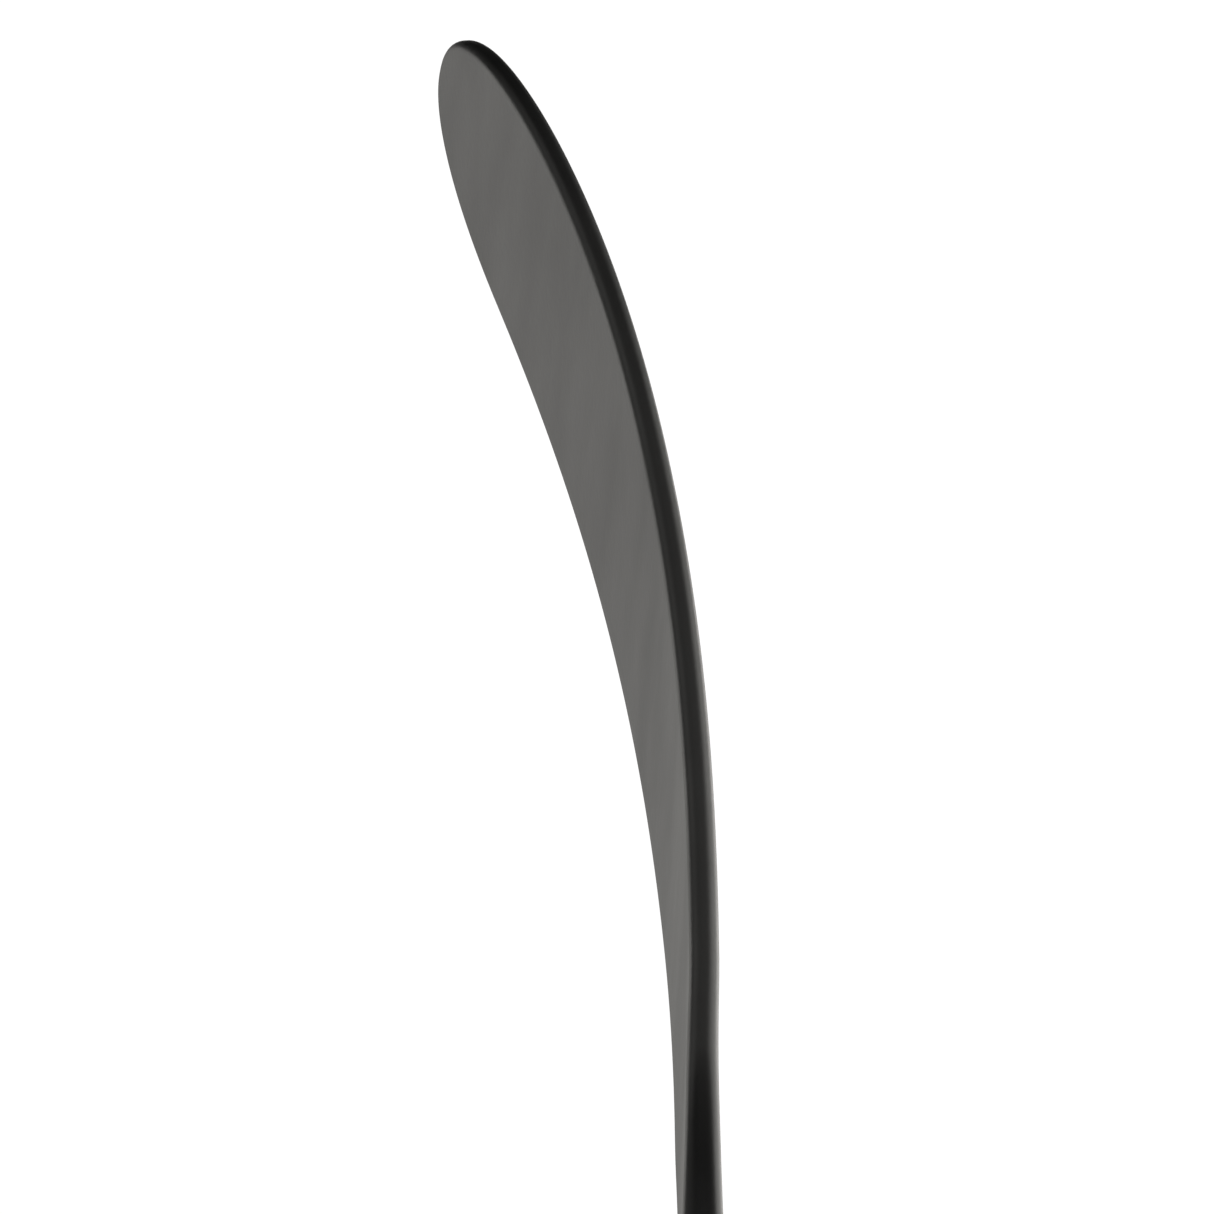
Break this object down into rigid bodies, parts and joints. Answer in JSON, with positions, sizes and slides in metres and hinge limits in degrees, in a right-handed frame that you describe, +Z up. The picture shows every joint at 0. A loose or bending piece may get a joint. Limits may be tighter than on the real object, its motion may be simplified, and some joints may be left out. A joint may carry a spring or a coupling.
{
  "type": "ice hockey stick",
  "caption": "Two-piece composite ice hockey stick with a left-hand curved blade, rounded toe, thin rounded edges, tapered tubular shaft and butt plug.",
  "frame": {"origin": "centre of the butt plug's flat end face", "axes": "+Z up the shaft towards the blade, -X towards the toe, -Y out of the concave forehand face"},
  "size_m": [0.2478, 0.062, 1.7191],
  "materials": {
    "shaft_black_paint": "satin black paint over carbon composite",
    "satin_black_paint": "satin black paint over carbon composite, faintly mottled",
    "plug_plastic": "fine matt moulded plastic",
    "filled_resin": "plain fibre-filled resin",
    "hot_melt_glue": "smooth amber hot-melt glue",
    "core_foam": "closed-cell structural foam",
    "bare_carbon": "bare pressed carbon fibre"
  },
  "bodies": {
    "shaft": {"shaft_tube": "shaft_black_paint"},
    "blade": {"forehand_skin": "satin_black_paint", "backhand_skin": "satin_black_paint", "lower_core": "core_foam", "upper_core": "core_foam", "blade_rib": "bare_carbon", "toe_block": "filled_resin", "tenon_block": "filled_resin", "glue_film": "hot_melt_glue"},
    "plug": {"butt_plug": "plug_plastic"}
  },
  "joints": [
    {"name": "blade_draw", "type": "slide", "parent": "shaft", "child": "blade", "axis": [0, 0, 1], "range_m": [0, 0.075]},
    {"name": "plug_pull", "type": "slide", "parent": "shaft", "child": "plug", "axis": [0, 0, -1], "range_m": [0, 0.06]}
  ]
}
